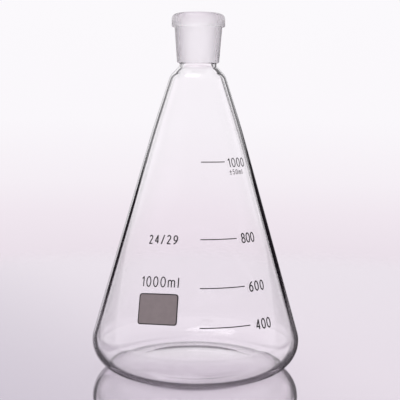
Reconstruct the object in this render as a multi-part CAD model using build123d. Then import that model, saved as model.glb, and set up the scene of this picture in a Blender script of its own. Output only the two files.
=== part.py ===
from build123d import *
import os
from math import acos, atan, atan2, cos, degrees, radians, sin, tan

# Conical flask of borosilicate glass, 1000 ml, with a conical ground socket of size 24/29 for a neck.
# The glass is blown and fused into one piece. A marking patch and four graduation lines are fired on
# its front as enamel. Sizes are in millimetres. The origin lies on the floor under the flask's axis,
# +Z is up, and the print faces -Y.

# Body, from the floor to the foot of the neck.
OVERALL_HEIGHT = 220.0    # from the floor to the crest of the rim
BODY_DIAMETER = 130.0     # widest, at the heel
WALL = 2.0                # blown wall of the cone, the shoulder and the neck
HEEL_RADIUS = 18.0        # outside rounding between the base and the cone
BREAST_DROP = 31.6        # how far below the shoulder the side starts to close in
BREAST_BULGE = 0.95       # how far the side stands out of a straight line there
BREAST_RADIUS = 600.0     # slow bend at the breast
SHOULDER_DIAMETER = 34.7
SHOULDER_RADIUS = 5.5
SHOULDER_SLOPE = 45.0     # degrees from upright, between shoulder and neck
NECK_RADIUS = 2.6         # outside hollow rounding at the foot of the neck
NECK_TUBE_LENGTH = 2.6    # from the foot of the neck to the socket

# Base: a narrow flat ring to stand on, round a shallow push-up.
FLOOR = 2.4
FOOT_WIDTH = 2.8
PUSH_UP = 2.5

# Conical ground socket.
JOINT_BORE = 24.0         # wide end of the ground bore
GROUND_LENGTH = 29.0
JOINT_TAPER = 0.1         # change of the bore's diameter for each unit of length
SOCKET_LIP = 1.0          # glass below the ground bore
SOCKET_END_WALL = 2.4     # round the narrow end of the bore
SOCKET_TOP_WALL = 3.05    # just under the collar
SOCKET_END_RADIUS = 1.3
SOCKET_STEP = 1.5         # from the socket in to the neck tube
SEAT_FALL = 1.4           # height of the slope from the ground bore in to the neck tube
SEAT_RADIUS = 0.8
STEP_RADIUS = 0.5

# Collar and fire-polished rim.
COLLAR_HEIGHT = 7.0
COLLAR_PROUD = 1.75       # beyond the socket under it
COLLAR_EDGE_RADIUS = 0.8
COLLAR_ROOT_RADIUS = 0.6
RIM_RADIUS = 2.3
MOUTH_RADIUS = 0.6

# Enamel print.
PRINT_THICKNESS = 0.12
LINE_WIDTH = 0.55
LINE_START = 2.3          # to the right of the front, along the glass
GRADUATIONS = (           # contents in ml, height above the floor, length along the glass
    (400, 38.5, 31.1),
    (600, 60.2, 27.5),
    (800, 87.3, 22.3),
    (1000, 131.3, 14.7),
)
PATCH_WIDTH = 24.7
PATCH_HEIGHT = 18.0
PATCH_CORNER = 1.6
PATCH_CENTRE_HEIGHT = 47.8
PATCH_BEARING = -22.8     # degrees round from the front, to the left
PATCH_TILT = 3.3          # degrees, its left end hangs lower

# Heights and radii that follow from the sizes above.
SOCKET_END_HEIGHT = OVERALL_HEIGHT - GROUND_LENGTH - SOCKET_LIP
GROUND_END_HEIGHT = OVERALL_HEIGHT - GROUND_LENGTH
COLLAR_BASE_HEIGHT = OVERALL_HEIGHT - COLLAR_HEIGHT
BORE_TOP_RADIUS = JOINT_BORE / 2
BORE_END_RADIUS = BORE_TOP_RADIUS - JOINT_TAPER / 2 * GROUND_LENGTH
SOCKET_OUTER_END = BORE_END_RADIUS + SOCKET_END_WALL
SOCKET_OUTER_TOP = BORE_TOP_RADIUS - JOINT_TAPER / 2 * COLLAR_HEIGHT + SOCKET_TOP_WALL
COLLAR_OUTER = SOCKET_OUTER_TOP + COLLAR_PROUD
NECK_OUTER = SOCKET_OUTER_END - SOCKET_STEP
NECK_FOOT_HEIGHT = SOCKET_END_HEIGHT - NECK_TUBE_LENGTH
SHOULDER_HEIGHT = NECK_FOOT_HEIGHT - (SHOULDER_DIAMETER / 2 - NECK_OUTER) / tan(radians(SHOULDER_SLOPE))
HEEL_CENTRE = Vector(BODY_DIAMETER / 2 - HEEL_RADIUS, HEEL_RADIUS)
FOOT_INNER = HEEL_CENTRE.X - FOOT_WIDTH


def heel_tangent(point):
    """Angle from upright of the line that leaves the heel's rounding and ends at a point above it."""
    reach = point - HEEL_CENTRE
    return atan2(reach.Y, reach.X) - acos(HEEL_RADIUS / reach.length)


def side_corners():
    """Corners of the outside of the body, as radius and height, from the axis up to the socket."""
    shoulder = Vector(SHOULDER_DIAMETER / 2, SHOULDER_HEIGHT)
    lean = tan(heel_tangent(shoulder))
    breast = Vector(shoulder.X + lean * BREAST_DROP + BREAST_BULGE, SHOULDER_HEIGHT - BREAST_DROP)
    heel = Vector(breast.X + tan(heel_tangent(breast)) * breast.Y, 0)
    neck_foot = Vector(NECK_OUTER, NECK_FOOT_HEIGHT)
    neck_top = Vector(NECK_OUTER, SOCKET_END_HEIGHT)
    return [Vector(0, 0), heel, breast, shoulder, neck_foot, neck_top]


def inset(corners, depths):
    """The same outline with each of its lines moved into the glass by a depth of its own."""
    lines = []
    for start, end, depth in zip(corners, corners[1:], depths):
        along = (end - start).normalized()
        lines.append((start + Vector(-along.Y, along.X) * depth, along))
    moved = [lines[0][0]]
    for (start, along), (next_start, next_along) in zip(lines, lines[1:]):
        run = (next_start - start).cross(next_along).Z / along.cross(next_along).Z
        moved.append(start + along * run)
    return moved + [Vector(lines[-1][0].X, corners[-1].Y)]


def outside_wall():
    """Corners and roundings of the outside, from the foot ring to the rim."""
    _, heel, breast, shoulder, neck_foot, neck_top = side_corners()
    return [
        (heel, HEEL_RADIUS),
        (breast, BREAST_RADIUS),
        (shoulder, SHOULDER_RADIUS),
        (neck_foot, NECK_RADIUS),
        (neck_top, STEP_RADIUS),
        (Vector(SOCKET_OUTER_END, SOCKET_END_HEIGHT), SOCKET_END_RADIUS),
        (Vector(SOCKET_OUTER_TOP, COLLAR_BASE_HEIGHT), COLLAR_ROOT_RADIUS),
        (Vector(COLLAR_OUTER, COLLAR_BASE_HEIGHT), COLLAR_EDGE_RADIUS),
        (Vector(COLLAR_OUTER, OVERALL_HEIGHT), RIM_RADIUS),
    ]


def inside_wall():
    """Corners and roundings of the inside, from the mouth down to the floor."""
    corners = inset(side_corners(), [FLOOR, WALL, WALL, WALL, WALL])
    _, heel, breast, shoulder, neck_foot, neck_top = corners
    return [
        (Vector(BORE_TOP_RADIUS, OVERALL_HEIGHT), MOUTH_RADIUS),
        (Vector(BORE_END_RADIUS, GROUND_END_HEIGHT), SEAT_RADIUS),
        (Vector(neck_top.X, GROUND_END_HEIGHT - SEAT_FALL), SEAT_RADIUS),
        (neck_foot, NECK_RADIUS + WALL),
        (shoulder, SHOULDER_RADIUS - WALL),
        (breast, BREAST_RADIUS - WALL),
        (heel, HEEL_RADIUS - WALL),
    ]


def make_flask():
    """One blown piece, turned from its half section."""
    wall = outside_wall() + inside_wall()
    with BuildPart() as flask:
        with BuildSketch(Plane.XZ):
            with BuildLine():
                TangentArc((0, PUSH_UP), (FOOT_INNER, 0), tangent=(1, 0))
                FilletPolyline(
                    (FOOT_INNER, 0),
                    *[corner for corner, _ in wall],
                    (FOOT_INNER, FLOOR),
                    radius=[rounding for _, rounding in wall],
                )
                TangentArc((0, PUSH_UP + FLOOR), (FOOT_INNER, FLOOR), tangent=(1, 0))
                Line((0, PUSH_UP), (0, PUSH_UP + FLOOR))
            make_face()
        revolve(axis=Axis.Z)
    return flask.part


def make_skin():
    """The layer just outside the cone and the breast, as thick as the print."""
    corners = side_corners()[1:4]
    outer = inset(side_corners(), [-PRINT_THICKNESS] * 5)[1:4]
    with BuildPart() as skin:
        with BuildSketch(Plane.XZ):
            with BuildLine():
                FilletPolyline(*corners, radius=[BREAST_RADIUS])
                FilletPolyline(*outer, radius=[BREAST_RADIUS + PRINT_THICKNESS])
                Line(corners[0], outer[0])
                Line(corners[-1], outer[-1])
            make_face()
        revolve(axis=Axis.Z)
    return skin.part


def side_at(height):
    """Outside radius of the cone or the breast at a height, and its angle from upright."""
    _, heel, breast, shoulder = side_corners()[:4]
    low, high = (heel, breast) if height < breast.Y else (breast, shoulder)
    lean = (low.X - high.X) / (high.Y - low.Y)
    return low.X - lean * (height - low.Y), atan(lean)


def make_graduation_lines(skin):
    """One enamel line at each graduation, level and curved with the glass."""
    lines = []
    for _, height, length in GRADUATIONS:
        radius, _ = side_at(height)
        start = degrees(LINE_START / radius)
        section = Plane.XZ * Pos(BODY_DIAMETER / 2, height) * Rectangle(BODY_DIAMETER, LINE_WIDTH)
        sector = revolve(section, Axis.Z, degrees(length / radius))
        lines.append(skin & Rot(0, 0, start - 90) * sector)
    return Compound(children=lines)


def make_marking_patch(skin):
    """Rounded square of enamel to write on, wrapped on the cone."""
    radius, lean = side_at(PATCH_CENTRE_HEIGHT)
    bearing = radians(PATCH_BEARING)
    out = Vector(sin(bearing), -cos(bearing), 0)
    along = Vector(cos(bearing), sin(bearing), 0)
    up = Vector(0, 0, 1)
    tangent = Plane(
        origin=out * radius + up * PATCH_CENTRE_HEIGHT,
        x_dir=along,
        z_dir=out * cos(lean) + up * sin(lean),
    )
    outline = tangent * Rot(0, 0, PATCH_TILT) * RectangleRounded(PATCH_WIDTH, PATCH_HEIGHT, PATCH_CORNER)
    return skin & extrude(outline, PATCH_WIDTH / 4, both=True)


def main():
    os.makedirs("parts", exist_ok=True)
    skin = make_skin()
    export_step(make_flask(), "parts/flask.step")
    export_step(make_graduation_lines(skin), "parts/graduation_lines.step")
    export_step(make_marking_patch(skin), "parts/marking_patch.step")


main()
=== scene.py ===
from math import acos, atan, atan2, cos, pi, radians, sin, tan

import bmesh
import bpy
from mathutils import Matrix, Vector


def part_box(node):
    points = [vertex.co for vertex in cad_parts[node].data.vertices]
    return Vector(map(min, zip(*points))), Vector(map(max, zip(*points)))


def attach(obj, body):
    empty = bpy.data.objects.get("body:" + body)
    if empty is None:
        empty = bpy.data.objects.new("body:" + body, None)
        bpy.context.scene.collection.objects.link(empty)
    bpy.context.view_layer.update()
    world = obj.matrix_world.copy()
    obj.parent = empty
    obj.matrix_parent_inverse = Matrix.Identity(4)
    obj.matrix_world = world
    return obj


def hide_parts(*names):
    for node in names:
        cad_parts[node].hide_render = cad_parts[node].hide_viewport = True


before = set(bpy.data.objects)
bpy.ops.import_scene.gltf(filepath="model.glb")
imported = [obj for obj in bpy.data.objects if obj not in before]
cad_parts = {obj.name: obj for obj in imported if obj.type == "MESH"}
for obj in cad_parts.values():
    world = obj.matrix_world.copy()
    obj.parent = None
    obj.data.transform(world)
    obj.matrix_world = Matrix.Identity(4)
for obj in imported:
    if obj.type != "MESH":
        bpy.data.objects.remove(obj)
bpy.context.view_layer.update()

# Conical flask of borosilicate glass with a ground socket for a neck, on a glossy pale table.
# Lengths are in metres. The origin is on the flask's axis, level with the ring that it stands on.
# The print faces -Y.
MM = 0.001

# The whole flask, from the frame.
FLASK_LOW, FLASK_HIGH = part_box("flask")
OVERALL_HEIGHT = FLASK_HIGH.z
BODY_DIAMETER = FLASK_HIGH.x - FLASK_LOW.x

# Body. The shoulder and the foot of the neck are rounder than in the part's source.
WALL = 2.0 * MM
HEEL_RADIUS = 18.0 * MM
BREAST_DROP = 31.6 * MM       # how far below the shoulder the side starts to close in
BREAST_BULGE = 0.95 * MM      # how far the side stands out of a straight line there
BREAST_RADIUS = 600.0 * MM
SHOULDER_DIAMETER = 34.7 * MM
SHOULDER_RADIUS = 9.0 * MM
SHOULDER_SLOPE = radians(45)  # from upright
SHOULDER_RISE = 1.2 * MM      # how far the side runs on past the source's shoulder
NECK_RADIUS = 3.4 * MM
NECK_TUBE_LENGTH = 2.6 * MM   # of the source's neck tube, below the socket

# Base: a ring to stand on, wider than in the part's source, round a shallow push-up.
FLOOR = 2.4 * MM
FOOT_WIDTH = 8.3 * MM
FOOT_EDGE_RADIUS = 26.0 * MM  # between the ring and the push-up
PUSH_UP = 2.5 * MM

# Ground socket. The collar is higher and the rim rounder than in the part's source.
JOINT_BORE = 24.0 * MM        # wide end of the ground bore
GROUND_LENGTH = 29.0 * MM
JOINT_TAPER = 0.1             # change of the bore's diameter for each unit of length
SOCKET_LIP = 1.0 * MM         # glass below the ground bore
SOCKET_END_WALL = 2.4 * MM    # round the narrow end of the bore
SOCKET_TOP_WALL = 3.05 * MM   # just under the collar
SOCKET_END_RADIUS = 1.3 * MM
SOCKET_STEP = 1.5 * MM        # from the socket in to the neck tube
SEAT_FALL = 1.4 * MM          # height of the slope from the ground bore in to the neck tube
SEAT_RADIUS = 0.8 * MM
STEP_RADIUS = 0.5 * MM
COLLAR_HEIGHT = 8.1 * MM
COLLAR_PROUD = 1.75 * MM      # beyond the socket under it
COLLAR_EDGE_RADIUS = 0.8 * MM
COLLAR_ROOT_RADIUS = 0.6 * MM
RIM_RADIUS = 3.4 * MM
MOUTH_RADIUS = 0.6 * MM
GROUND_TOP = 1.2 * MOUTH_RADIUS   # how far below the rim the grinding starts
GROUND_REACH = 0.1 * MM       # beyond the bore's radius, so that all its faces are ground

# How finely the glass is turned.
SEGMENTS = 224
ARC_STEP = radians(3.5)
LEAST_ARC_STEPS = 4
RING_STEP = 6.0 * MM
MERGE_DISTANCE = 0.001 * MM

# Print: places are heights above the foot ring and bearings round from the front in degrees,
# positive to the right.
ENAMEL_THICKNESS = 0.12 * MM
BORDER_THICKNESS = 0.17 * MM
STROKE_STEP = 0.25 * MM
SIGN_ARC_STEP = 12            # degrees from point to point on an arc of a sign
LEAST_SIGN_STEPS = 6
CLOSED_WITHIN = 1e-7          # a stroke whose ends lie this near is closed
# For each text: its piece's name, the height and bearing of its middle, its digits' height, its width,
# its stroke and its tilt in degrees.
NUMERALS = (
    ("1000", "numeral_1000", 130.8 * MM, 45.0, 5.2 * MM, 13.1 * MM, 0.55 * MM, 0.0),
    ("800", "numeral_800", 87.2 * MM, 41.6, 5.4 * MM, 9.9 * MM, 0.74 * MM, 0.0),
    ("600", "numeral_600", 59.6 * MM, 41.5, 5.4 * MM, 11.2 * MM, 0.78 * MM, 0.0),
    ("400", "numeral_400", 38.2 * MM, 41.5, 5.6 * MM, 11.2 * MM, 0.78 * MM, 0.0),
    ("±50ml", "tolerance", 125.3 * MM, 42.2, 2.8 * MM, 10.4 * MM, 0.32 * MM, 0.0),
    ("1000ml", "capacity", 62.9 * MM, -23.4, 5.7 * MM, 23.4 * MM, 0.66 * MM, 2.8),
    ("24/29", "joint_size", 86.6 * MM, -25.0, 4.8 * MM, 18.0 * MM, 0.70 * MM, 2.8),
)
THINLY_PRINTED = ("numeral_1000", "tolerance")
PATCH_WIDTH = 24.7 * MM
PATCH_HEIGHT = 18.0 * MM
PATCH_CORNER = 1.6 * MM
PATCH_CENTRE_HEIGHT = 47.8 * MM
PATCH_BEARING = -22.8
PATCH_TILT = 3.3
PATCH_BORDER = 0.6 * MM

# Finishes.
GLASS_IOR = 1.474
BLOWING_WAVE = 24 * MM        # from crest to crest
BLOWING_DEPTH = 0.10 * MM
GRINDING_GRIT = 0.5 * MM      # coarser than the real grit, which is too fine to show
GRINDING_DEPTH = 0.05 * MM
INK_CLOUD = 3 * MM
INK_GRIT = 0.25 * MM          # coarser than the real grit, which is too fine to show
INK_GRIT_DEPTH = 0.02 * MM

# Camera, fitted to the flask's outline in the photograph, which is 400 pixels square.
CAMERA_DISTANCE = 0.5704
CAMERA_HEIGHT = 0.1663
CAMERA_PITCH = 0.1063
CAMERA_ROLL = 0.0096
CAMERA_CLIP = 0.01
FOCAL_PIXELS = 918.3
IMAGE_PIXELS = 400
AXIS_PIXEL = 196.716
SENSOR_WIDTH = 36.0

# Table: it fades out between two distances from the flask's axis.
TABLE_EDGE_NEAR = 0.37
TABLE_EDGE_FAR = 0.50
TABLE_GAP = 0.05 * MM         # under the flask
TABLE_PAINTED_SHADE_SLANT = 0.6        # its painted shade changes along X plus this share of Y
TABLE_PAINTED_SHADE_END = -0.20        # where that sum gives the darkest painted shade
TABLE_PAINTED_LIT_END = 0.12         # and the palest, least shaded tone
TABLE_MATT_SHARE = 0.15       # of its light, scattered and not mirrored

# Studio. A bearing is in degrees round from straight behind the flask, positive to the right. A height
# is the sine of a direction's angle above level.
BACKDROP_REACH = 0.20         # how far below and above level the backdrop's scale goes
BACKDROP = (                  # heights and their colours
    (-0.165, "#EAE0E9"),
    (-0.12, "#F0E7EF"),
    (-0.085, "#F5EFF5"),
    (-0.02, "#FAF7FB"),
    (0.10, "#FBF9FC"),
)
PANEL_LEFT = -26
PANEL_RIGHT = 16
DARK_FLAGS = ((15, 36), (-38, -24))
FLAG_BLUR = 1
ROOM_PALE_ABOVE = 0.10        # beside the panel, what is mirrored once turns dark between these heights
ROOM_DARK_BELOW = 0.08
BASE_GLOW_HEIGHT = 0.24       # height at which rays through the flask's base meet the studio
BASE_GLOW_REACH = 0.09        # from that height to where the shade of the wall begins
BASE_GLOW_END = 0.14          # and to where it is full
WALL_SHADE = 0.9              # how dark what is mirrored twice inside the glass gets
STUDIO_DARK = "#171318"
INSIDE_GAIN = 0.06            # how much brighter the studio is when seen through glass
LIGHT_STRENGTH = 0.85

# Lamp.
SOFTBOX_SIZE = (0.9, 0.6)
SOFTBOX_POWER = 4.0
SOFTBOX_PLACE = (-0.3, -0.4, 1.1)
SOFTBOX_AIM = (0, 0, 0.1)

# Short names for two kinds of node, and the places of a Mix node's two colours and its result.
MATH = "ShaderNodeMath"
VECTOR_MATH = "ShaderNodeVectorMath"
MIX_FIRST = 6
MIX_SECOND = 7
MIX_RESULT = 2


def colour(code):
    """Linear colour of an sRGB hex code."""
    values = [int(code[i:i + 2], 16) / 255 for i in (1, 3, 5)]
    return [v / 12.92 if v <= 0.04045 else ((v + 0.055) / 1.055) ** 2.4 for v in values] + [1.0]


def add(tree, kind, inputs=(), **settings):
    """Adds a node with its settings, and sets or links its inputs, given in their order or by name."""
    node = tree.nodes.new(kind)
    for name, value in settings.items():
        setattr(node, name, value)
    for key, value in inputs.items() if isinstance(inputs, dict) else enumerate(inputs):
        if isinstance(value, bpy.types.Node):
            value = value.outputs[0]
        if isinstance(value, bpy.types.NodeSocket):
            tree.links.new(value, node.inputs[key])
        else:
            node.inputs[key].default_value = value
    return node


def geometry_tree(name, inputs):
    """A geometry tree with named inputs besides its geometry, and the sockets that give them."""
    tree = bpy.data.node_groups.new(name, "GeometryNodeTree")
    tree.interface.new_socket("Geometry", in_out="INPUT", socket_type="NodeSocketGeometry")
    for label, kind in inputs.items():
        tree.interface.new_socket(label, in_out="INPUT", socket_type="NodeSocket" + kind)
    tree.interface.new_socket("Geometry", in_out="OUTPUT", socket_type="NodeSocketGeometry")
    return tree, add(tree, "NodeGroupInput").outputs


def grown(obj, tree, values):
    """Runs a tree on an object with the named inputs, and leaves its result as a plain mesh."""
    modifier = obj.modifiers.new(tree.name, "NODES")
    modifier.node_group = tree
    sockets = {s.name: s.identifier for s in tree.interface.items_tree if s.in_out == "INPUT"}
    for name, value in values.items():
        modifier[sockets[name]] = value
    evaluated = obj.evaluated_get(bpy.context.evaluated_depsgraph_get())
    mesh = bpy.data.meshes.new_from_object(evaluated)
    name = obj.name
    bpy.data.objects.remove(obj)
    mesh.name = name
    made = bpy.data.objects.new(name, mesh)
    bpy.context.scene.collection.objects.link(made)
    return made


def outward(obj):
    """Turns every face outwards."""
    shape = bmesh.new()
    shape.from_mesh(obj.data)
    bmesh.ops.recalc_face_normals(shape, faces=shape.faces)
    shape.to_mesh(obj.data)
    shape.free()


# The outline of the flask.

def heel_tangent(point, centre):
    """Angle from upright of the line that leaves the heel's rounding and ends at a point above it."""
    reach = point - centre
    return atan2(reach.y, reach.x) - acos(HEEL_RADIUS / reach.length)


def side_corners():
    """Corners of the outside of the body, as radius and height, from the axis up to the socket."""
    heel_centre = Vector((BODY_DIAMETER / 2 - HEEL_RADIUS, HEEL_RADIUS))
    socket_end = OVERALL_HEIGHT - GROUND_LENGTH - SOCKET_LIP
    neck = JOINT_BORE / 2 - JOINT_TAPER / 2 * GROUND_LENGTH + SOCKET_END_WALL - SOCKET_STEP
    neck_foot = Vector((neck, socket_end - NECK_TUBE_LENGTH))
    shoulder_radius = SHOULDER_DIAMETER / 2
    shoulder = Vector((shoulder_radius, neck_foot.y - (shoulder_radius - neck) / tan(SHOULDER_SLOPE)))
    lean = tan(heel_tangent(shoulder, heel_centre))
    breast = Vector((shoulder.x + lean * BREAST_DROP + BREAST_BULGE, shoulder.y - BREAST_DROP))
    heel = Vector((breast.x + tan(heel_tangent(breast, heel_centre)) * breast.y, 0))
    shoulder += (shoulder - breast).normalized() * SHOULDER_RISE
    neck_foot.y = shoulder.y + (shoulder.x - neck) / tan(SHOULDER_SLOPE)
    return [Vector((0, 0)), heel, breast, shoulder, neck_foot, Vector((neck, socket_end))]


def side_at(height):
    """Outside radius of the cone or the breast at a height, and its angle from upright."""
    _, heel, breast, shoulder = side_corners()[:4]
    low, high = (heel, breast) if height < breast.y else (breast, shoulder)
    lean = (low.x - high.x) / (high.y - low.y)
    return low.x - lean * (height - low.y), atan(lean)


def inset(corners, depths):
    """The same outline with each of its lines moved into the glass by a depth of its own."""
    lines = []
    for start, end, depth in zip(corners, corners[1:], depths):
        along = (end - start).normalized()
        lines.append((start + Vector((-along.y, along.x)) * depth, along))
    moved = [lines[0][0]]
    for (start, along), (next_start, next_along) in zip(lines, lines[1:]):
        run = (next_start - start).cross(next_along) / along.cross(next_along)
        moved.append(start + along * run)
    return moved + [Vector((lines[-1][0].x, corners[-1].y))]


def push_up_corner(reach):
    """Where the two tangents of the shallow arc under or over the push-up meet, and the arc's radius."""
    radius = (reach ** 2 + PUSH_UP ** 2) / (2 * PUSH_UP)
    return (reach ** 2 + PUSH_UP ** 2) / (2 * reach), radius


def glass_outline():
    """Corners and roundings of the half section, from the axis round the outside to the axis again."""
    corners = side_corners()
    _, heel, breast, shoulder, neck_foot, neck_top = corners
    inner = inset(corners, [FLOOR, WALL, WALL, WALL, WALL])
    _, in_heel, in_breast, in_shoulder, in_neck_foot, in_neck_top = inner
    foot_inner = BODY_DIAMETER / 2 - HEEL_RADIUS - FOOT_WIDTH
    push_corner, push_radius = push_up_corner(foot_inner)
    ground_end = OVERALL_HEIGHT - GROUND_LENGTH
    collar_base = OVERALL_HEIGHT - COLLAR_HEIGHT
    bore_end = JOINT_BORE / 2 - JOINT_TAPER / 2 * GROUND_LENGTH
    socket_end = bore_end + SOCKET_END_WALL
    socket_top = JOINT_BORE / 2 - JOINT_TAPER / 2 * COLLAR_HEIGHT + SOCKET_TOP_WALL
    collar = socket_top + COLLAR_PROUD
    return [
        (0, PUSH_UP, 0),
        (push_corner, PUSH_UP, push_radius),
        (foot_inner, 0, FOOT_EDGE_RADIUS),
        (heel.x, 0, HEEL_RADIUS),
        (breast.x, breast.y, BREAST_RADIUS),
        (shoulder.x, shoulder.y, SHOULDER_RADIUS),
        (neck_foot.x, neck_foot.y, NECK_RADIUS),
        (neck_top.x, neck_top.y, STEP_RADIUS),
        (socket_end, neck_top.y, SOCKET_END_RADIUS),
        (socket_top, collar_base, COLLAR_ROOT_RADIUS),
        (collar, collar_base, COLLAR_EDGE_RADIUS),
        (collar, OVERALL_HEIGHT, RIM_RADIUS),
        (JOINT_BORE / 2, OVERALL_HEIGHT, MOUTH_RADIUS),
        (bore_end, ground_end, SEAT_RADIUS),
        (in_neck_top.x, ground_end - SEAT_FALL, SEAT_RADIUS),
        (in_neck_foot.x, in_neck_foot.y, NECK_RADIUS + WALL),
        (in_shoulder.x, in_shoulder.y, SHOULDER_RADIUS - WALL),
        (in_breast.x, in_breast.y, BREAST_RADIUS - WALL),
        (in_heel.x, in_heel.y, HEEL_RADIUS - WALL),
        (foot_inner, FLOOR, FOOT_EDGE_RADIUS),
        (push_corner, FLOOR + PUSH_UP, push_radius),
        (0, FLOOR + PUSH_UP, 0),
    ]


# The glass.

def outline_object(name, outline):
    """The outline as a chain of edges that carries each corner's rounding and its number of steps."""
    mesh = bpy.data.meshes.new(name)
    points = [(x, 0, z) for x, z, _ in outline]
    mesh.from_pydata(points, [(i, i + 1) for i in range(len(points) - 1)], [])
    rounding = mesh.attributes.new("rounding", "FLOAT", "POINT")
    steps = mesh.attributes.new("steps", "INT", "POINT")
    for i, (_, _, radius) in enumerate(outline):
        rounding.data[i].value = radius
        steps.data[i].value = 1
        if 0 < i < len(outline) - 1:
            arriving = Vector(points[i]) - Vector(points[i - 1])
            leaving = Vector(points[i + 1]) - Vector(points[i])
            steps.data[i].value = max(LEAST_ARC_STEPS, round(arriving.angle(leaving) / ARC_STEP))
    obj = bpy.data.objects.new(name, mesh)
    bpy.context.scene.collection.objects.link(obj)
    return obj


def lathe_tree():
    """Rounds the corners of an outline, turns it about Z and closes the seam and the poles."""
    tree, given = geometry_tree("turned_glass", {
        "Segments": "Int",
        "Ring step": "Float",
        "Ground from": "Float",
        "Ground to": "Float",
        "Ground radius": "Float",
        "Clear glass": "Material",
        "Ground glass": "Material",
    })
    rounding = add(tree, "GeometryNodeInputNamedAttribute", {"Name": "rounding"}, data_type="FLOAT")
    steps = add(tree, "GeometryNodeInputNamedAttribute", {"Name": "steps"}, data_type="INT")
    chain = add(tree, "GeometryNodeMeshToCurve", {"Mesh": given["Geometry"]})
    rounded = add(tree, "GeometryNodeFilletCurve", {
        "Curve": chain,
        "Count": steps.outputs["Attribute"],
        "Radius": rounding.outputs["Attribute"],
        "Limit Radius": True,
    }, mode="POLY")

    # Rings along the straight runs keep the shading of the roundings from bleeding into them.
    place = add(tree, "GeometryNodeInputPosition")
    index = add(tree, "GeometryNodeInputIndex")
    following = add(tree, "GeometryNodeFieldAtIndex", {
        "Index": add(tree, MATH, (index, 1), operation="ADD"),
        "Value": place,
    }, domain="POINT", data_type="FLOAT_VECTOR")
    run = add(tree, VECTOR_MATH, (following, place), operation="DISTANCE").outputs["Value"]
    share = add(tree, MATH, (run, given["Ring step"]), operation="DIVIDE")
    cuts = add(tree, MATH, (share,), operation="FLOOR")
    profile = add(tree, "GeometryNodeSubdivideCurve", {"Curve": rounded, "Cuts": cuts})
    size = add(tree, "GeometryNodeAttributeDomainSize", {"Geometry": profile}, component="CURVE")
    count = size.outputs["Point Count"]

    # A flat grid is rolled up: its width goes round the axis, and its height along the profile.
    grid = add(tree, "GeometryNodeMeshGrid", {
        "Size X": 1.0,
        "Size Y": 1.0,
        "Vertices X": add(tree, MATH, (given["Segments"], 1), operation="ADD"),
        "Vertices Y": count,
    })
    spot = add(tree, "ShaderNodeSeparateXYZ", {"Vector": place}).outputs
    across = add(tree, MATH, (spot["X"], 0.5), operation="ADD")
    angle = add(tree, MATH, (across, 2 * pi), operation="MULTIPLY")
    last = add(tree, MATH, (count, 1), operation="SUBTRACT")
    along = add(tree, MATH, (spot["Y"], 0.5), operation="ADD")
    ring = add(tree, MATH, (along, last), operation="MULTIPLY")
    whole_ring = add(tree, MATH, (ring,), operation="ROUND")
    sample = add(tree, "GeometryNodeSampleIndex", {
        "Geometry": profile,
        "Value": place,
        "Index": whole_ring,
    }, domain="POINT", data_type="FLOAT_VECTOR")
    section = add(tree, "ShaderNodeSeparateXYZ", {"Vector": sample.outputs["Value"]}).outputs
    sideways = add(tree, MATH, (angle,), operation="SINE")
    backwards = add(tree, MATH, (angle,), operation="COSINE")
    forwards = add(tree, MATH, (backwards, -1), operation="MULTIPLY")
    turned = add(tree, "ShaderNodeCombineXYZ", {
        "X": add(tree, MATH, (section["X"], sideways), operation="MULTIPLY"),
        "Y": add(tree, MATH, (section["X"], forwards), operation="MULTIPLY"),
        "Z": section["Z"],
    })
    solid = add(tree, "GeometryNodeSetPosition", {"Geometry": grid, "Position": turned})
    closed = add(tree, "GeometryNodeMergeByDistance", {"Geometry": solid, "Distance": MERGE_DISTANCE})
    smooth = add(tree, "GeometryNodeSetShadeSmooth", {"Geometry": closed})
    real = add(tree, "GeometryNodeRealizeInstances", {"Geometry": smooth})
    clear = add(tree, "GeometryNodeSetMaterial", {"Geometry": real, "Material": given["Clear glass"]})

    # The bore is ground between its two ends.
    level = add(tree, "ShaderNodeCombineXYZ", {"X": spot["X"], "Y": spot["Y"]})
    radius = add(tree, VECTOR_MATH, (level,), operation="LENGTH").outputs["Value"]
    above = add(tree, MATH, (spot["Z"], given["Ground from"]), operation="GREATER_THAN")
    below = add(tree, MATH, (spot["Z"], given["Ground to"]), operation="LESS_THAN")
    within = add(tree, MATH, (radius, given["Ground radius"]), operation="LESS_THAN")
    between = add(tree, MATH, (above, below), operation="MULTIPLY")
    ground = add(tree, MATH, (between, within), operation="MULTIPLY")
    matt = add(tree, "GeometryNodeSetMaterial", {
        "Geometry": clear,
        "Selection": ground,
        "Material": given["Ground glass"],
    })
    add(tree, "NodeGroupOutput", (matt,))
    return tree


def make_glass(clear, ground):
    """The flask, turned in one piece, with the bore of its socket ground."""
    flask = grown(outline_object("flask_glass", glass_outline()), lathe_tree(), {
        "Segments": SEGMENTS,
        "Ring step": RING_STEP,
        "Ground from": OVERALL_HEIGHT - GROUND_LENGTH,
        "Ground to": OVERALL_HEIGHT - GROUND_TOP,
        "Ground radius": JOINT_BORE / 2 + GROUND_REACH,
        "Clear glass": clear,
        "Ground glass": ground,
    })
    outward(flask)
    return flask


# The print.

def arc(x, y, across, high, start, end):
    """Points on an oval about (x, y), counted anticlockwise from the right, in degrees."""
    count = max(LEAST_SIGN_STEPS, round(abs(end - start) / SIGN_ARC_STEP))
    turns = [radians(start + (end - start) * i / count) for i in range(count + 1)]
    return [(x + across * cos(t), y + high * sin(t)) for t in turns]


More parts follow.
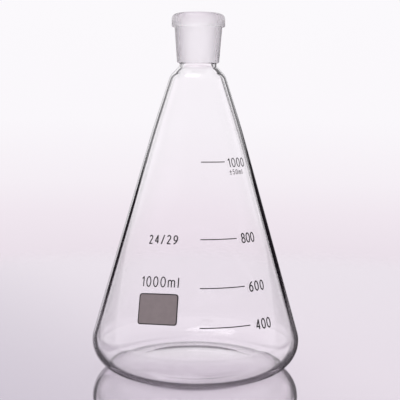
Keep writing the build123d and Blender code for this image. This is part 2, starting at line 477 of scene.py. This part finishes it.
# Width of each sign and its strokes, in a cell one unit high.
SIGNS = {
    "0": (0.48, [arc(0.24, 0.5, 0.24, 0.5, 0, 360)]),
    "1": (0.24, [[(0.0, 0.78), (0.20, 1.0), (0.20, 0.0)]]),
    "2": (0.44, [arc(0.21, 0.76, 0.20, 0.24, 165, -35) + [(0.0, 0.0), (0.44, 0.0)]]),
    "4": (0.46, [[(0.34, 0.0), (0.34, 1.0), (0.0, 0.28), (0.46, 0.28)]]),
    "5": (0.44, [[(0.40, 1.0), (0.06, 1.0), (0.03, 0.56)] + arc(0.21, 0.32, 0.23, 0.32, 135, -150)]),
    "6": (0.44, [arc(0.22, 0.31, 0.22, 0.31, 0, 360), arc(0.62, 0.31, 0.62, 0.72, 180, 106)]),
    "8": (0.44, [arc(0.22, 0.76, 0.18, 0.24, -90, 270), arc(0.22, 0.26, 0.22, 0.26, 90, -270)]),
    "9": (0.44, [arc(0.22, 0.69, 0.22, 0.31, 0, 360), arc(-0.18, 0.69, 0.62, 0.72, 0, -74)]),
    "m": (0.66, [
        [(0.0, 0.0), (0.0, 0.70)],
        [(0.0, 0.52)] + arc(0.165, 0.52, 0.165, 0.18, 180, 0) + [(0.33, 0.0)],
        [(0.33, 0.52)] + arc(0.495, 0.52, 0.165, 0.18, 180, 0) + [(0.66, 0.0)],
    ]),
    "l": (0.10, [[(0.05, 0.0), (0.05, 1.0)]]),
    "/": (0.36, [[(0.0, -0.06), (0.36, 1.06)]]),
    "±": (0.56, [
        [(0.0, 0.58), (0.56, 0.58)],
        [(0.28, 0.92), (0.28, 0.24)],
        [(0.0, 0.06), (0.56, 0.06)],
    ]),
}


def tilted(line, degrees):
    """A line of points turned anticlockwise about their origin."""
    c, s = cos(radians(degrees)), sin(radians(degrees))
    return [(x * c - y * s, x * s + y * c) for x, y in line]


def text_strokes(text, height, width, tilt):
    """Strokes of a line of text about its middle, x along the glass and y up it."""
    signs = [SIGNS[sign] for sign in text]
    inked = sum(across for across, _ in signs) * height
    gap = (width - inked) / (len(signs) - 1)
    strokes = []
    start = -width / 2
    for across, lines in signs:
        for line in lines:
            strokes.append(tilted([(start + x * height, (y - 0.5) * height) for x, y in line], tilt))
        start += across * height + gap
    return strokes


def patch_outline(width, height, corner, tilt):
    """A closed stroke round the marking patch."""
    right, top = width / 2 - corner, height / 2 - corner
    line = arc(right, top, corner, corner, 0, 90) + arc(-right, top, corner, corner, 90, 180)
    line += arc(-right, -top, corner, corner, 180, 270) + arc(right, -top, corner, corner, 270, 360)
    return tilted(line + line[:1], tilt)


def stroke_object(name, strokes):
    """Strokes as a flat curve object."""
    curve = bpy.data.curves.new(name, "CURVE")
    curve.dimensions = "3D"
    for line in strokes:
        closed = (Vector(line[0]) - Vector(line[-1])).length < CLOSED_WITHIN
        points = line[:-1] if closed else line
        spline = curve.splines.new("POLY")
        spline.points.add(len(points) - 1)
        for point, (x, y) in zip(spline.points, points):
            point.co = (x, y, 0, 1)
        spline.use_cyclic_u = closed
    obj = bpy.data.objects.new(name, curve)
    bpy.context.scene.collection.objects.link(obj)
    return obj


def wrap_tree():
    """Gives flat strokes their width and thickness and rolls them on to the cone, unstretched."""
    tree, given = geometry_tree("fired_strokes", {
        "Stroke": "Float",
        "Thickness": "Float",
        "Step": "Float",
        "Radius": "Float",
        "Height": "Float",
        "Bearing": "Float",
        "Lean": "Float",
        "Material": "Material",
    })
    spaced = add(tree, "GeometryNodeResampleCurve", {
        "Curve": given["Geometry"],
        "Length": given["Step"],
    }, mode="LENGTH")
    upright = add(tree, "GeometryNodeSetCurveNormal", {"Curve": spaced}, mode="Z_UP")
    section = add(tree, "GeometryNodeCurvePrimitiveQuadrilateral", {
        "Width": given["Stroke"],
        "Height": given["Thickness"],
    }, mode="RECTANGLE")
    ribbon = add(tree, "GeometryNodeCurveToMesh", {
        "Curve": upright,
        "Profile Curve": section,
        "Fill Caps": True,
    })

    # Unrolled, the cone is a fan about its tip: the slant length and the angle at the tip place a point.
    flat = add(tree, "ShaderNodeSeparateXYZ", {"Vector": add(tree, "GeometryNodeInputPosition")}).outputs
    lean_sine = add(tree, MATH, (given["Lean"],), operation="SINE")
    lean_cosine = add(tree, MATH, (given["Lean"],), operation="COSINE")
    slant = add(tree, MATH, (given["Radius"], lean_sine), operation="DIVIDE")
    down = add(tree, MATH, (slant, flat["Y"]), operation="SUBTRACT")
    across_squared = add(tree, MATH, (flat["X"], 2), operation="POWER")
    down_squared = add(tree, MATH, (down, 2), operation="POWER")
    squares = add(tree, MATH, (across_squared, down_squared), operation="ADD")
    reach = add(tree, MATH, (squares,), operation="SQRT")
    tip_angle = add(tree, MATH, (flat["X"], down), operation="ARCTAN2")
    turn = add(tree, MATH, (tip_angle, lean_sine), operation="DIVIDE")
    angle = add(tree, MATH, (given["Bearing"], turn), operation="ADD")

    # The ribbon's middle is lifted off the glass by half its thickness, square to the cone's side.
    half = add(tree, MATH, (given["Thickness"], 0.5), operation="MULTIPLY")
    lift = add(tree, MATH, (flat["Z"], half), operation="ADD")
    glass_radius = add(tree, MATH, (reach, lean_sine), operation="MULTIPLY")
    lift_outwards = add(tree, MATH, (lift, lean_cosine), operation="MULTIPLY")
    radius = add(tree, MATH, (glass_radius, lift_outwards), operation="ADD")
    up_slant = add(tree, MATH, (slant, reach), operation="SUBTRACT")
    climb = add(tree, MATH, (up_slant, lean_cosine), operation="MULTIPLY")
    lift_upwards = add(tree, MATH, (lift, lean_sine), operation="MULTIPLY")
    rise = add(tree, MATH, (climb, lift_upwards), operation="ADD")
    sideways = add(tree, MATH, (angle,), operation="SINE")
    backwards = add(tree, MATH, (angle,), operation="COSINE")
    forwards = add(tree, MATH, (backwards, -1), operation="MULTIPLY")
    rolled = add(tree, "ShaderNodeCombineXYZ", {
        "X": add(tree, MATH, (radius, sideways), operation="MULTIPLY"),
        "Y": add(tree, MATH, (radius, forwards), operation="MULTIPLY"),
        "Z": add(tree, MATH, (given["Height"], rise), operation="ADD"),
    })
    moved = add(tree, "GeometryNodeSetPosition", {"Geometry": ribbon, "Position": rolled})
    real = add(tree, "GeometryNodeRealizeInstances", {"Geometry": moved})
    inked = add(tree, "GeometryNodeSetMaterial", {"Geometry": real, "Material": given["Material"]})
    add(tree, "NodeGroupOutput", (inked,))
    return tree


def fired(name, strokes, stroke, thickness, height, bearing, tree, ink):
    """A piece of print, rolled on to the cone about a point at a height and a bearing."""
    radius, lean = side_at(height)
    piece = grown(stroke_object(name, strokes), tree, {
        "Stroke": stroke,
        "Thickness": thickness,
        "Step": STROKE_STEP,
        "Radius": radius,
        "Height": height,
        "Bearing": radians(bearing),
        "Lean": lean,
        "Material": ink,
    })
    outward(piece)
    return piece


def make_print(ink, thin_ink):
    """The numerals, the capacity, the joint's size and the border of the marking patch."""
    tree = wrap_tree()
    pieces = []
    for text, name, height, bearing, size, width, stroke, tilt in NUMERALS:
        strokes = text_strokes(text, size, width, tilt)
        shade = thin_ink if name in THINLY_PRINTED else ink
        pieces.append(fired(name, strokes, stroke, ENAMEL_THICKNESS, height, bearing, tree, shade))
    border = patch_outline(PATCH_WIDTH - PATCH_BORDER, PATCH_HEIGHT - PATCH_BORDER, PATCH_CORNER, PATCH_TILT)
    pieces.append(fired("patch_border", [border], PATCH_BORDER, BORDER_THICKNESS, PATCH_CENTRE_HEIGHT,
                        PATCH_BEARING, tree, ink))
    return pieces


# Materials.

def new_material(name):
    """A material with an empty node tree, and the tree."""
    material = bpy.data.materials.new(name)
    material.use_nodes = True
    material.node_tree.nodes.clear()
    return material, material.node_tree


def passing_lamps(tree, shader, glass_colouring):
    """Lets the lamps through the glass, which leaves a faint shadow."""
    path = add(tree, "ShaderNodeLightPath").outputs
    clear = add(tree, "ShaderNodeBsdfTransparent", {"Color": colour(glass_colouring)})
    mixed = add(tree, "ShaderNodeMixShader", (path["Is Shadow Ray"], shader, clear))
    add(tree, "ShaderNodeOutputMaterial", {"Surface": mixed})


def clear_borosilicate():
    """Borosilicate glass, blown and fire polished: clear, with a very slight waviness from the blowing, and
    painted shade where it is seen edge on.
    """
    material, tree = new_material("borosilicate_glass")
    place = add(tree, "ShaderNodeTexCoord").outputs["Object"]
    wave = add(tree, "ShaderNodeTexNoise", {"Vector": place, "Scale": 1 / BLOWING_WAVE, "Detail": 1.0})
    bump = add(tree, "ShaderNodeBump", {"Height": wave, "Strength": 0.03, "Distance": BLOWING_DEPTH})
    # Where the wall is seen nearly edge on, its colour is darkened: painted shade at the edges, as they look
    # in the photograph.
    facing = add(tree, "ShaderNodeLayerWeight").outputs["Facing"]
    painted_edge_shade = add(tree, "ShaderNodeMapRange", {"Value": facing, "From Min": 0.79, "From Max": 0.87})
    glass_colouring = add(tree, "ShaderNodeMix", {
        "Factor": painted_edge_shade,
        MIX_FIRST: colour("#FDFCFD"),
        MIX_SECOND: colour("#1A161A"),
    }, data_type="RGBA")
    glass = add(tree, "ShaderNodeBsdfPrincipled", {
        "Base Color": glass_colouring.outputs[MIX_RESULT],
        "Roughness": 0.0,
        "IOR": GLASS_IOR,
        "Transmission Weight": 1.0,
        "Normal": bump,
    })
    passing_lamps(tree, glass, "#E9E6EA")
    return material


def ground_borosilicate():
    """The bore of the socket, ground with fine grit: matt and milky, as it scatters what passes."""
    material, tree = new_material("ground_borosilicate_glass")
    place = add(tree, "ShaderNodeTexCoord").outputs["Object"]
    grain = add(tree, "ShaderNodeTexNoise", {"Vector": place, "Scale": 1 / GRINDING_GRIT, "Detail": 2.0})
    bump = add(tree, "ShaderNodeBump", {"Height": grain, "Strength": 0.3, "Distance": GRINDING_DEPTH})
    # Where its face turns away, the ground glass is darker towards its sides: painted shade.
    facing = add(tree, "ShaderNodeLayerWeight").outputs["Facing"]
    side = add(tree, "ShaderNodeMapRange", {"Value": facing, "From Min": 0.15, "From Max": 0.75})
    glass_colouring = add(tree, "ShaderNodeMix", {
        "Factor": side,
        MIX_FIRST: colour("#FFFDFF"),
        MIX_SECOND: colour("#EBE3EC"),
    }, data_type="RGBA")
    matt = add(tree, "ShaderNodeBsdfPrincipled", {
        "Base Color": glass_colouring.outputs[MIX_RESULT],
        "Roughness": 0.55,
        "IOR": GLASS_IOR,
        "Transmission Weight": 1.0,
        "Normal": bump,
    })
    passing_lamps(tree, matt, "#D9D5DA")
    return material


def fired_enamel(name, code, dark_code):
    """Ceramic enamel, screen printed and fired: matt, and slightly uneven where the ink lay thinner."""
    material, tree = new_material(name)
    place = add(tree, "ShaderNodeTexCoord").outputs["Object"]
    cloud = add(tree, "ShaderNodeTexNoise", {"Vector": place, "Scale": 1 / INK_CLOUD, "Detail": 4.0})
    blend = add(tree, "ShaderNodeMix", {
        "Factor": cloud,
        MIX_FIRST: colour(dark_code),
        MIX_SECOND: colour(code),
    }, data_type="RGBA")
    grit = add(tree, "ShaderNodeTexNoise", {"Vector": place, "Scale": 1 / INK_GRIT})
    bump = add(tree, "ShaderNodeBump", {"Height": grit, "Strength": 0.25, "Distance": INK_GRIT_DEPTH})
    enamel = add(tree, "ShaderNodeBsdfPrincipled", {
        "Base Color": blend.outputs[MIX_RESULT],
        "Roughness": 0.5,
        "Normal": bump,
    })
    add(tree, "ShaderNodeOutputMaterial", {"Surface": enamel})
    return material


# The stage.

def table_top():
    """Polished and pale: it mirrors the flask, has painted shade that darkens it near and to the left, and
    fades out all round.
    """
    material, tree = new_material("polished_table")
    place = add(tree, "ShaderNodeTexCoord").outputs["Object"]
    spot = add(tree, "ShaderNodeSeparateXYZ", {"Vector": place}).outputs
    # Painted shade: the table's pale colour is darkened towards the front and the left.
    slant = add(tree, MATH, (spot["Y"], TABLE_PAINTED_SHADE_SLANT, spot["X"]), operation="MULTIPLY_ADD")
    across = add(tree, "ShaderNodeMapRange", {
        "Value": slant,
        "From Min": TABLE_PAINTED_SHADE_END,
        "From Max": TABLE_PAINTED_LIT_END,
    }, interpolation_type="SMOOTHSTEP")
    blend = add(tree, "ShaderNodeMix", {
        "Factor": across,
        MIX_FIRST: colour("#C8C0CC"),
        MIX_SECOND: colour("#E5DCE5"),
    }, data_type="RGBA")
    tone_and_painted_shade = blend.outputs[MIX_RESULT]
    mirror = add(tree, "ShaderNodeBsdfPrincipled", {"Base Color": tone_and_painted_shade, "Metallic": 1.0, "Roughness": 0.06})
    plain = add(tree, "ShaderNodeBsdfDiffuse", {"Color": tone_and_painted_shade})
    top = add(tree, "ShaderNodeMixShader", (TABLE_MATT_SHARE, mirror, plain))
    reach = add(tree, VECTOR_MATH, (place,), operation="LENGTH").outputs["Value"]
    far = add(tree, "ShaderNodeMapRange", {
        "Value": reach,
        "From Min": TABLE_EDGE_NEAR,
        "From Max": TABLE_EDGE_FAR,
    }, interpolation_type="SMOOTHSTEP")
    clear = add(tree, "ShaderNodeBsdfTransparent")
    mixed = add(tree, "ShaderNodeMixShader", (far, top, clear))
    add(tree, "ShaderNodeOutputMaterial", {"Surface": mixed})
    return material


def make_table():
    """The table's top, a flat sheet just under the flask."""
    mesh = bpy.data.meshes.new("table")
    side = TABLE_EDGE_FAR
    low = -TABLE_GAP
    corners = [(-side, -side, low), (side, -side, low), (side, side, low), (-side, side, low)]
    mesh.from_pydata(corners, [], [(0, 1, 2, 3)])
    mesh.materials.append(table_top())
    table = bpy.data.objects.new("table", mesh)
    bpy.context.scene.collection.objects.link(table)


def backdrop(tree, height):
    """The soft lavender gradient behind the flask."""
    share = add(tree, "ShaderNodeMapRange", {
        "Value": height,
        "From Min": -BACKDROP_REACH,
        "From Max": BACKDROP_REACH,
    })
    ramp = add(tree, "ShaderNodeValToRGB", {"Fac": share})
    for i, (stop, code) in enumerate(BACKDROP):
        mark = ramp.color_ramp.elements[i] if i < 2 else ramp.color_ramp.elements.new(1.0)
        mark.position = (stop + BACKDROP_REACH) / (2 * BACKDROP_REACH)
        mark.color = colour(code)
    return ramp


def dark_flags(tree, bearing):
    """Where the dark flags stand, as a shade from 0 to 1."""
    shade = 0.0
    for low, high in DARK_FLAGS:
        middle = radians(low + high) / 2
        half = radians(high - low) / 2
        side = add(tree, MATH, (bearing, middle), operation="SUBTRACT")
        flag = add(tree, "ShaderNodeMapRange", {
            "Value": add(tree, MATH, (side,), operation="ABSOLUTE"),
            "From Min": half + radians(FLAG_BLUR),
            "From Max": half - radians(FLAG_BLUR),
        })
        shade = add(tree, MATH, (shade, flag), operation="MAXIMUM")
    return shade


def make_world():
    """Pale studio with a white panel behind the flask, dark flags beside it and plain white light.

    The eye meets the backdrop alone. What is mirrored or seen through glass meets the dark parts too,
    and everything else is lit by the white light.
    """
    world = bpy.data.worlds.new("studio")
    bpy.context.scene.world = world
    world.use_nodes = True
    tree = world.node_tree
    tree.nodes.clear()
    globe = add(tree, "ShaderNodeTexCoord").outputs["Generated"]
    way = add(tree, "ShaderNodeSeparateXYZ", {"Vector": globe}).outputs
    bearing = add(tree, MATH, (way["X"], way["Y"]), operation="ARCTAN2")

    # A ray's depth is a whole number, so each limit lies half way between two.
    path = add(tree, "ShaderNodeLightPath").outputs
    twice = add(tree, MATH, (path["Glossy Depth"], 1.5), operation="GREATER_THAN")
    through = add(tree, MATH, (path["Transmission Depth"], 0.5), operation="GREATER_THAN")

    # A mirrored ray meets the dark room beside the panel: low down, or at any height if mirrored twice.
    from_left = add(tree, MATH, (bearing, radians(PANEL_LEFT)), operation="GREATER_THAN")
    from_right = add(tree, MATH, (bearing, radians(PANEL_RIGHT)), operation="LESS_THAN")
    panel = add(tree, MATH, (from_left, from_right), operation="MULTIPLY")
    beside = add(tree, MATH, (1, panel), operation="SUBTRACT")
    low = add(tree, "ShaderNodeMapRange", {
        "Value": way["Z"],
        "From Min": ROOM_PALE_ABOVE,
        "From Max": ROOM_DARK_BELOW,
    })
    dark_height = add(tree, MATH, (low, twice), operation="MAXIMUM")
    room = add(tree, MATH, (beside, dark_height), operation="MULTIPLY")
    not_through = add(tree, MATH, (1, through), operation="SUBTRACT")
    mirrored = add(tree, MATH, (path["Is Glossy Ray"], not_through), operation="MULTIPLY")
    room_shade = add(tree, MATH, (room, mirrored), operation="MULTIPLY")

    # A ray that went through glass meets the flags. One mirrored twice on its way is dark, except near
    # the height of the light that the base gathers.
    from_glow = add(tree, MATH, (way["Z"], BASE_GLOW_HEIGHT), operation="SUBTRACT")
    off_glow = add(tree, "ShaderNodeMapRange", {
        "Value": add(tree, MATH, (from_glow,), operation="ABSOLUTE"),
        "From Min": BASE_GLOW_REACH,
        "From Max": BASE_GLOW_END,
        "To Max": WALL_SHADE,
    })
    wall = add(tree, MATH, (twice, off_glow), operation="MULTIPLY")
    inside = add(tree, MATH, (dark_flags(tree, bearing), wall), operation="MAXIMUM")
    inside_shade = add(tree, MATH, (inside, through), operation="MULTIPLY")

    shade = add(tree, MATH, (inside_shade, room_shade), operation="ADD")
    studio = add(tree, "ShaderNodeMix", {
        "Factor": shade,
        MIX_FIRST: backdrop(tree, way["Z"]),
        MIX_SECOND: colour(STUDIO_DARK),
    }, data_type="RGBA")
    strength = add(tree, MATH, (through, INSIDE_GAIN, 1.0), operation="MULTIPLY_ADD")
    seen = add(tree, "ShaderNodeBackground", {"Color": studio.outputs[MIX_RESULT], "Strength": strength})
    light = add(tree, "ShaderNodeBackground", {"Color": colour("#FFFFFF"), "Strength": LIGHT_STRENGTH})
    by_glass = add(tree, MATH, (path["Is Glossy Ray"], path["Is Transmission Ray"]), operation="MAXIMUM")
    looking = add(tree, MATH, (path["Is Camera Ray"], by_glass), operation="MAXIMUM")
    mixed = add(tree, "ShaderNodeMixShader", (looking, light, seen))
    add(tree, "ShaderNodeOutputWorld", {"Surface": mixed})


def make_lamp():
    """One wide soft lamp above."""
    lamp = bpy.data.lights.new("softbox", "AREA")
    lamp.shape = "RECTANGLE"
    lamp.size, lamp.size_y = SOFTBOX_SIZE
    lamp.energy = SOFTBOX_POWER
    obj = bpy.data.objects.new("softbox", lamp)
    obj.location = SOFTBOX_PLACE
    obj.rotation_euler = (Vector(SOFTBOX_AIM) - obj.location).to_track_quat("-Z", "Y").to_euler()
    bpy.context.scene.collection.objects.link(obj)


def make_camera():
    """The camera that took the photograph."""
    data = bpy.data.cameras.new("camera")
    data.sensor_width = SENSOR_WIDTH
    data.lens = SENSOR_WIDTH * FOCAL_PIXELS / IMAGE_PIXELS
    data.shift_x = (IMAGE_PIXELS / 2 - AXIS_PIXEL) / IMAGE_PIXELS
    data.clip_start = CAMERA_CLIP
    camera = bpy.data.objects.new("camera", data)
    bpy.context.scene.collection.objects.link(camera)
    turn = Matrix.Rotation(pi / 2 - CAMERA_PITCH, 4, "X") @ Matrix.Rotation(CAMERA_ROLL, 4, "Z")
    camera.matrix_world = Matrix.Translation((0, -CAMERA_DISTANCE, CAMERA_HEIGHT)) @ turn
    bpy.context.scene.camera = camera


def set_view():
    """Plain colours, and enough bounces for light to pass both walls and the base."""
    scene = bpy.context.scene
    scene.view_settings.view_transform = "Standard"
    scene.cycles.max_bounces = 24
    scene.cycles.transmission_bounces = 24
    scene.cycles.glossy_bounces = 12
    scene.cycles.transparent_max_bounces = 24
    scene.cycles.sample_clamp_indirect = 4.0
    scene.cycles.caustics_reflective = True
    scene.cycles.caustics_refractive = True


def main():
    """Makes the glass and its print, finishes the two fired nodes of the frame and sets the stage."""
    clear = clear_borosilicate()
    ink = fired_enamel("black_enamel", "#1D181B", "#120E11")
    thin_ink = fired_enamel("thin_black_enamel", "#3A3337", "#252024")
    # The marking patch is white enamel, given the grey of its shaded look: painted shade.
    painted_shade_patch_ink = fired_enamel("white_enamel_painted_shade", "#8A7E80", "#7C7073")

    flask = make_glass(clear, ground_borosilicate())
    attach(flask, "root")
    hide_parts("flask")
    for piece in make_print(ink, thin_ink):
        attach(piece, "root")
    for node, material in (("graduation_lines", thin_ink), ("marking_patch", painted_shade_patch_ink)):
        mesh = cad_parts[node].data
        mesh.materials.clear()
        mesh.materials.append(material)

    make_table()
    make_world()
    make_lamp()
    make_camera()
    set_view()


main()
